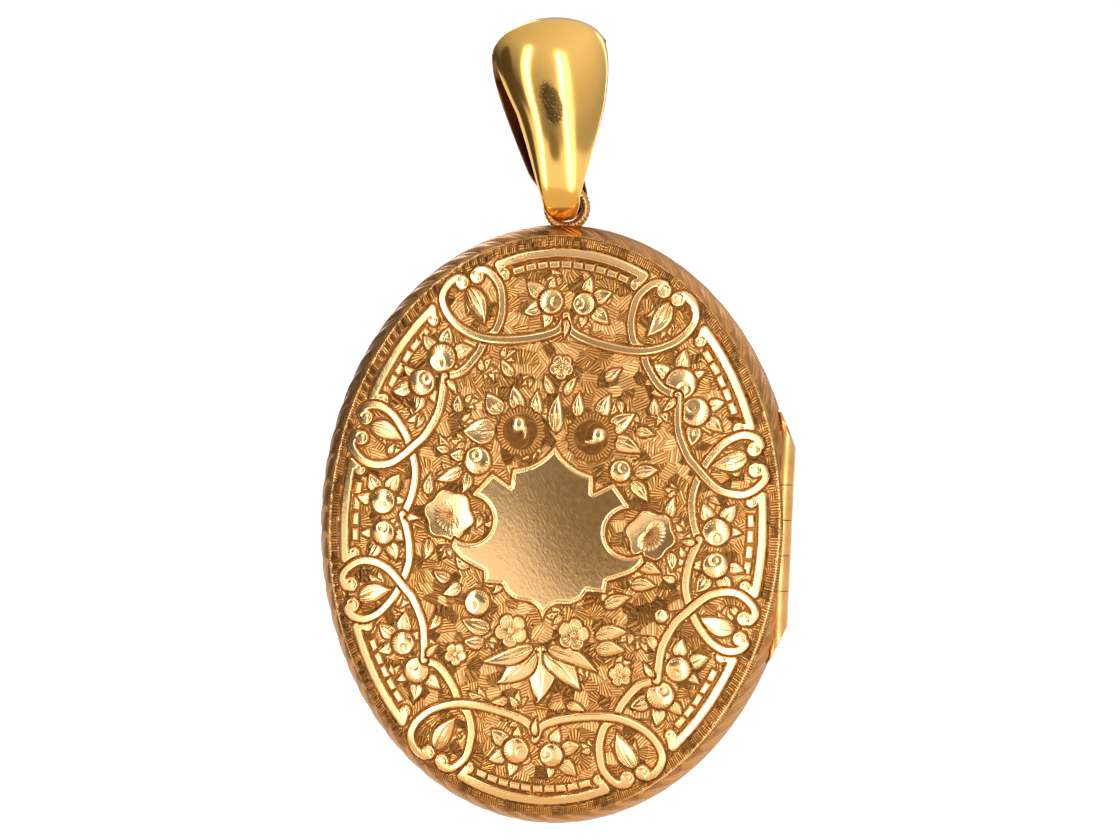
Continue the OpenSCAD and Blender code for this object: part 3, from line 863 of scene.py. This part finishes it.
# ---------- picture frames, crystals and cards ----------

OVAL_STEPS = 480
FLAT_STEPS = 240  # of the crystals and cards


def oval_of(node):
    """Half width, half height, and the d nearest to and furthest from the seam."""
    low, high = box_mm(node)
    near, far = sorted(abs(np.array([low[1], high[1]]) - SEAM))
    return (high[0] - low[0]) / 2, (high[2] - low[2]) / 2, near, far


def add_photo_frame(side, prefix, body):
    """A moulded oval frame with a beaded inner edge."""
    w, h, near, far = oval_of(f"{prefix}_photo_frame")
    lip = 1.18
    profile = [(0, far), (0, near + 0.12), (0.05, near + 0.04), (0.14, near), (0.28, near),
               (0.36, near + 0.07), (0.46, near + 0.07), (0.56, near), (0.74, near - 0.02),
               (0.92, near + 0.03), (1.02, near + 0.1),
               (1.06, near + 0.08), (1.12, near + 0.06), (lip, near + 0.12), (lip, near + 0.29),
               (0.3, near + 0.29), (0.3, far)]
    points, faces = turned([(w - i, h - i, d) for i, d in profile], OVAL_STEPS)
    beads = np.sin(np.arange(OVAL_STEPS) * TAU / 4)
    for row in (11, 12):
        points[row * OVAL_STEPS:(row + 1) * OVAL_STEPS, 2] -= 0.035 * beads
    add_piece(f"{prefix}_frame_moulding", from_half(points, side), faces, body, RIM_GOLD,
              [f"{prefix}_photo_frame"], 45)


def add_crystal(side, prefix, body):
    """A flat glass with a bevelled edge."""
    w, h, near, far = oval_of(f"{prefix}_crystal")
    clear = 0.01
    profile = [(1, far - clear), (1, near + 0.2), (0.985, near + 0.06), (0.96, near + clear),
               (0.6, near + clear), (0.3, near + clear), (0, near + clear), (0, far - clear),
               (0.5, far - clear)]
    points, faces = turned([(w * f, h * f, d) for f, d in profile], FLAT_STEPS)
    add_piece(f"{prefix}_bevelled_crystal", from_half(points, side), faces, body, GLASS,
              [f"{prefix}_crystal"], 20)


def add_card(side, prefix, body):
    """A blank card, very slightly cockled with age."""
    w, h, near, far = oval_of(f"{prefix}_photo_card")
    shares = [1, 0.995, 0.9, 0.75, 0.6, 0.45, 0.3, 0.15, 0]
    profile = [(f, near + 0.02) for f in shares] + [(f, far - 0.01) for f in shares[::-1]]
    points, faces = turned([(w * f, h * f, d) for f, d in profile], FLAT_STEPS)
    cockle = 0.012 * (np.sin(points[:, 0] * 0.55) * np.cos(points[:, 1] * 0.4) - 1)
    points[:, 2] -= cockle * (points[:, 2] < (near + far) / 2)
    add_piece(f"{prefix}_blank_card", from_half(points, side), faces, body, CARD,
              [f"{prefix}_photo_card"], 40)


for side, prefix, body in ((FRONT, "front", "front_case"), (BACK, "back", "back_case")):
    add_photo_frame(side, prefix, body)
    add_crystal(side, prefix, body)
    add_card(side, prefix, body)


# ---------- loop and bail ----------


def add_loop():
    """A closed ring of reeded wire, with its foot sunk in the plate under it."""
    low, high = box_mm("loop")
    wire = (high[1] - low[1]) / 2
    radius = (high[0] - low[0]) / 2 - wire
    middle = np.array([(low[0] + high[0]) / 2, (low[1] + high[1]) / 2, high[2] - wire - radius])
    steps, per_ring, reeds = 192, 20, 32
    round_ = np.arange(per_ring) * TAU / per_ring
    points = []
    for turn in np.arange(steps) * TAU / steps:
        out = np.array([math.cos(turn), 0, math.sin(turn)])
        swell = 1 - 0.12 * (0.5 + 0.5 * np.cos(reeds * turn + 2 * round_))
        ring = np.cos(round_)[:, None] * out + np.sin(round_)[:, None] * np.array([0, 1, 0])
        points.append(middle + radius * out + wire * swell[:, None] * ring)
    add_piece("reeded_loop", np.vstack(points), tube_faces(steps, per_ring, True), "back_case",
              WIRE_GOLD, ["loop"], 60)


def add_saddle():
    """The plain plate under the loop, rounded over and curved with the case."""
    low, high = box_mm("loop_saddle")
    middle, half = (low + high) / 2, (high - low) / 2
    steps, per_ring = 41, 24
    round_ = np.arange(per_ring) * TAU / per_ring
    points = []
    for share in np.linspace(-1, 1, steps):
        ease = (1 - abs(share) ** 8) ** 0.25 if abs(share) < 1 else 0.05
        drop = HALF_H - math.sqrt(HALF_H ** 2 - (share * half[0]) ** 2 * (HALF_H / HALF_W) ** 2)
        y = half[1] * np.sign(np.cos(round_)) * abs(np.cos(round_)) ** 0.35 * ease
        z = half[2] * np.sign(np.sin(round_)) * abs(np.sin(round_)) ** 0.35
        z = np.where(z > 0, z - drop, z)
        x = np.full(per_ring, middle[0] + share * half[0])
        points.append(np.stack([x, middle[1] + y, middle[2] + z], axis=1))
    ends = [list(range(first, first + per_ring)) for first in (0, (steps - 1) * per_ring)]
    faces = tube_faces(steps, per_ring, False) + ends
    add_piece("loop_plate", np.vstack(points), faces, "back_case", BAIL_GOLD,
              ["loop_saddle"], 50)


# The bail's side view and width, as its CAD solid has them
BAIL_FOOT, BAIL_LEN, BAIL_W, BAIL_WALL = -2.2, 13.9, 8.0, 0.4
BAIL_TILT, BAIL_TWIST = math.radians(8.6), math.radians(17)
FRONT_BULGE, BACK_BULGE = 3.4, 3.0
NECK_W, NECK_REACH, NECK_LIFT, NECK_SPREAD = 0.9, 1.1, 0.55, 0.8
TIP_R, TIP_Z, TAPER, CROWN_EASE = 1.3, -0.95, 0.55, 14
BAIL_AROUND, BAIL_ACROSS = 420, 56
DARK_SPOT_AT, DARK_SPOT_LEAN, DARK_SPOT_SIZE = (-0.8, 5.8), 0.2, (0.72, 1.55)  # a dark, speckled, rougher patch painted on its front


def bail_path(t):
    """Distance behind the pivot and height above it, t round from the foot up the front."""
    bulge = FRONT_BULGE if t < math.pi else BACK_BULGE
    y = -bulge * math.sin(t) * max(math.sin(t / 2), 0.02) ** -0.25
    lift = NECK_LIFT * math.exp(-(y / NECK_SPREAD) ** 2) if math.cos(t) > 0 else 0
    return np.array([y, BAIL_FOOT + BAIL_LEN * (1 - math.cos(t)) / 2 + lift])


def bail_width(spot):
    """A leaf that widens up from a round tip, with a narrow neck where it passes the loop."""
    y, z = spot
    leaf = 2 * TIP_R + TAPER * (z - TIP_Z)
    leaf /= (1 + (max(leaf, 0) / BAIL_W) ** CROWN_EASE) ** (1 / CROWN_EASE)
    if z < TIP_Z:
        leaf = 2 * math.sqrt(max(TIP_R ** 2 - (z - TIP_Z) ** 2, 0.01))
    if z > 0:
        return leaf
    return leaf + (NECK_W - leaf) * (1 - float(smooth((abs(y) - NECK_REACH) / 0.4 + 0.5)))


def add_bail():
    """The folded strap, outside and inside, curled across and twisted on its way up."""
    u = np.sin(np.linspace(-math.pi / 2, math.pi / 2, BAIL_ACROSS + 1))
    rings, wear, inner = [], [], []
    for k in range(BAIL_AROUND):
        t = TAU * (k + 0.5) / BAIL_AROUND
        spot = bail_path(t)
        at_foot = t <= 0.02 or t >= TAU - 0.02
        ahead = np.array([-1.0, 0]) if at_foot else bail_path(t + 0.01) - bail_path(t - 0.01)
        normal = np.array([ahead[1], -ahead[0]]) / np.hypot(*ahead)
        width = bail_width(spot)
        degrees = math.degrees(t)
        curl = (0.05 + 0.19 * smooth((degrees - 20) / 70) * (1 - smooth((degrees - 185) / 70))) * width
        climb = spot[1] + 1.5
        share = float(smooth(climb / 3)) if spot[0] > 0 else min(max(climb / 7, 0), 1)
        twist = BAIL_TWIST * share
        for out in (1, -1):
            w = out * u
            thick = BAIL_WALL / 2 * np.sqrt(np.clip(1 - abs(w) ** 6, 0, 1))
            off = curl * (1 - np.sqrt(1 - 0.96 * w ** 2)) / 0.8 - out * thick
            x = w * width / 2
            y, z = spot[0] + normal[0] * off, spot[1] + normal[1] * off
            rings.append(np.stack([x * math.cos(twist) - y * math.sin(twist),
                                   x * math.sin(twist) + y * math.cos(twist), z], axis=1))
            # A dark speckled patch painted on the front face, leaning a little as it rises.
            above = z - DARK_SPOT_AT[1]
            patch = np.hypot((x - DARK_SPOT_AT[0] + DARK_SPOT_LEAN * above) / DARK_SPOT_SIZE[0], above / DARK_SPOT_SIZE[1])
            on_front = out > 0 and t < math.pi
            wear.append(smooth((1.35 - patch) / 0.7) * on_front)
            # The inside face is marked here so that the material paints it dark, as painted shade.
            inner.append(np.full(len(w), float(out < 0)))
    neck = np.array([0, 0, BAIL_FOOT + NECK_LIFT])
    lean = np.array(Matrix.Rotation(-BAIL_TILT, 3, "Y"))
    points = PIVOT + neck + (np.vstack(rings) - neck) @ lean.T
    faces = tube_faces(BAIL_AROUND, 2 * (BAIL_ACROSS + 1), True)
    marks = {"wear": np.concatenate(wear), "inner": np.concatenate(inner)}
    add_piece("polished_bail", points, faces, "bail", BAIL_GOLD, ["bail"], 70, marks)


add_loop()
add_saddle()
add_bail()


# ---------- CAD nodes that stay ----------

KEPT_FINISH = {"hinge_pin": WIRE_GOLD, "knuckle": HINGE_GOLD, "rim_plate": RIM_GOLD,
               "photo_seat": RIM_GOLD, "liner_plate": RIM_GOLD, "snap_lip": RIM_GOLD}
for name, node in frame["nodes"].items():
    for part, material in KEPT_FINISH.items():
        if part in name:
            node.data.materials.clear()
            node.data.materials.append(material)


# ---------- studio ----------

LENS, SENSOR = 135, 36
PICTURE_W = 77.6  # what the frame spans across the case, in millimetres
AZIMUTH, ELEVATION, ROLL = 8, 3, 2.5  # in degrees
CASE_IN_PICTURE = (-0.2, -7.27)  # the case's centre from the picture's, in millimetres


def way_from(azimuth, elevation):
    """From the locket towards a place round it, in degrees: 0 is in front, 90 on the hinge side."""
    a, e = math.radians(azimuth), math.radians(elevation)
    return Vector((math.sin(a) * math.cos(e), -math.cos(a) * math.cos(e), math.sin(e)))


def add_camera():
    back, roll = way_from(AZIMUTH, ELEVATION), math.radians(ROLL)
    right = Vector((0, 0, 1)).cross(back).normalized()
    up = back.cross(right)
    rolled_right = right * math.cos(roll) + up * math.sin(roll)
    rolled_up = up * math.cos(roll) - right * math.sin(roll)
    data = bpy.data.cameras.new("camera")
    data.lens, data.sensor_width = LENS, SENSOR
    data.clip_start, data.clip_end = 0.01, 20
    camera = bpy.data.objects.new("camera", data)
    bpy.context.scene.collection.objects.link(camera)
    target = Vector(CENTRE) - rolled_right * CASE_IN_PICTURE[0] - rolled_up * CASE_IN_PICTURE[1]
    place = (target + back * (PICTURE_W * LENS / SENSOR)) * MM
    camera.matrix_world = Matrix((
        (rolled_right.x, rolled_up.x, back.x, place.x),
        (rolled_right.y, rolled_up.y, back.y, place.y),
        (rolled_right.z, rolled_up.z, back.z, place.z),
        (0, 0, 0, 1)))
    bpy.context.scene.camera = camera


FLOOR_DROP, FLOOR_REACH = 0.4, 6.0  # in metres: the locket hangs by its bail above the floor


def add_floor():
    low, reach = CAD_BOX[0].z - FLOOR_DROP, FLOOR_REACH
    mesh = bpy.data.meshes.new("floor")
    corners = [(-reach, -reach, low), (reach, -reach, low), (reach, reach, low), (-reach, reach, low)]
    mesh.from_pydata(corners, [], [(0, 1, 2, 3)])
    floor = bpy.data.objects.new("floor", mesh)
    bpy.context.scene.collection.objects.link(floor)
    shader = Shader("floor", Roughness=0.9, Base_Color=(0.5, 0.5, 0.5, 1), Emission_Color=(1, 1, 1, 1),
                    Emission_Strength=0.77)
    mesh.materials.append(shader.material)


def add_light(name, azimuth, elevation, distance, size, glow):
    """A soft panel aimed at the locket and placed round it as the camera is.

    glow is how bright the panel looks, where 1 is a white that just fills the picture's range.
    """
    data = bpy.data.lights.new(name, "AREA")
    data.shape, data.size, data.size_y = "RECTANGLE", size[0], size[1]
    data.energy = glow * math.pi * size[0] * size[1]
    light = bpy.data.objects.new(name, data)
    bpy.context.scene.collection.objects.link(light)
    way = way_from(azimuth, elevation)
    light.visible_camera = False
    light.location = Vector(CENTRE) * MM + way * distance
    light.rotation_mode = "QUATERNION"
    light.rotation_quaternion = way.to_track_quat("Z", "Y")


def add_reflector(name, azimuth, elevation, distance, radii, glow, tint):
    """A dim oval card for the gold to reflect, placed as a light is. Cameras don't see it."""
    way = way_from(azimuth, elevation)
    turn = way.to_track_quat("Z", "Y").to_matrix().to_4x4()
    place = Matrix.Translation(Vector(CENTRE) * MM + way * distance) @ turn
    steps = 48
    rim = [place @ Vector((radii[0] * math.cos(t), radii[1] * math.sin(t), 0))
           for t in np.arange(steps) * TAU / steps]
    mesh = bpy.data.meshes.new(name)
    mesh.from_pydata([tuple(c) for c in rim], [], [list(range(steps))])
    card = bpy.data.objects.new(name, mesh)
    bpy.context.scene.collection.objects.link(card)
    shader = Shader(name, Roughness=1.0, Base_Color=(0.04, 0.03, 0.02, 1),
                    Emission_Color=(*tint, 1), Emission_Strength=glow)
    mesh.materials.append(shader.material)
    card.visible_camera = False


def add_world():
    """White to the camera, and to reflections a room that is darker on the left."""
    world = bpy.data.worlds.new("studio")
    bpy.context.scene.world = world
    world.use_nodes = True
    tree = world.node_tree
    way = tree.nodes.new("ShaderNodeSeparateXYZ")
    tree.links.new(tree.nodes.new("ShaderNodeTexCoord").outputs["Generated"], way.inputs[0])

    def span(value, low, high, to_low, to_high):
        made = tree.nodes.new("ShaderNodeMapRange")
        for socket, number in enumerate((low, high, to_low, to_high), 1):
            made.inputs[socket].default_value = number
        tree.links.new(value, made.inputs[0])
        return made.outputs[0]

    def join(operation, first, second):
        made = tree.nodes.new("ShaderNodeMath")
        made.operation = operation
        tree.links.new(first, made.inputs[0])
        tree.links.new(second, made.inputs[1])
        return made.outputs[0]

    sides = span(way.outputs["X"], -0.7, 0.5, 0.08, 0.5)
    room = join("ADD", sides, span(way.outputs["Z"], 0.15, 0.8, 0, 0.55))
    seen = tree.nodes.new("ShaderNodeLightPath").outputs["Is Camera Ray"]
    white = span(seen, 0, 1, 0, 1.1)
    tree.links.new(join("MAXIMUM", room, white), tree.nodes["Background"].inputs["Strength"])
    tree.nodes["Background"].inputs["Color"].default_value = (1, 1, 1, 1)


add_camera()
add_floor()
add_reflector("camera_side_card", -0.5, -3, 0.42, (0.078, 0.064), 0.15, (1.0, 0.82, 0.58))
add_reflector("left_card", -78, 0, 0.42, (0.16, 0.35), 0.03, (1.0, 0.9, 0.7))
add_reflector("lower_card", 0, -72, 0.35, (0.5, 0.24), 0.8, (1.0, 0.84, 0.64))
add_world()
add_light("left strip", -29, 3, 0.46, (0.026, 1.25), 11)
add_light("left glow", -34, 3, 0.47, (0.11, 1.25), 2.0)
add_light("right strip", 23, 3, 0.46, (0.024, 1.25), 11)
add_light("right glow", 30, 3, 0.47, (0.12, 1.25), 2.0)
add_light("rear left", 205, 20, 0.5, (0.12, 0.4), 3)
add_light("rear right", 150, 15, 0.5, (0.10, 0.4), 1.5)
bpy.context.scene.view_settings.view_transform = "Standard"
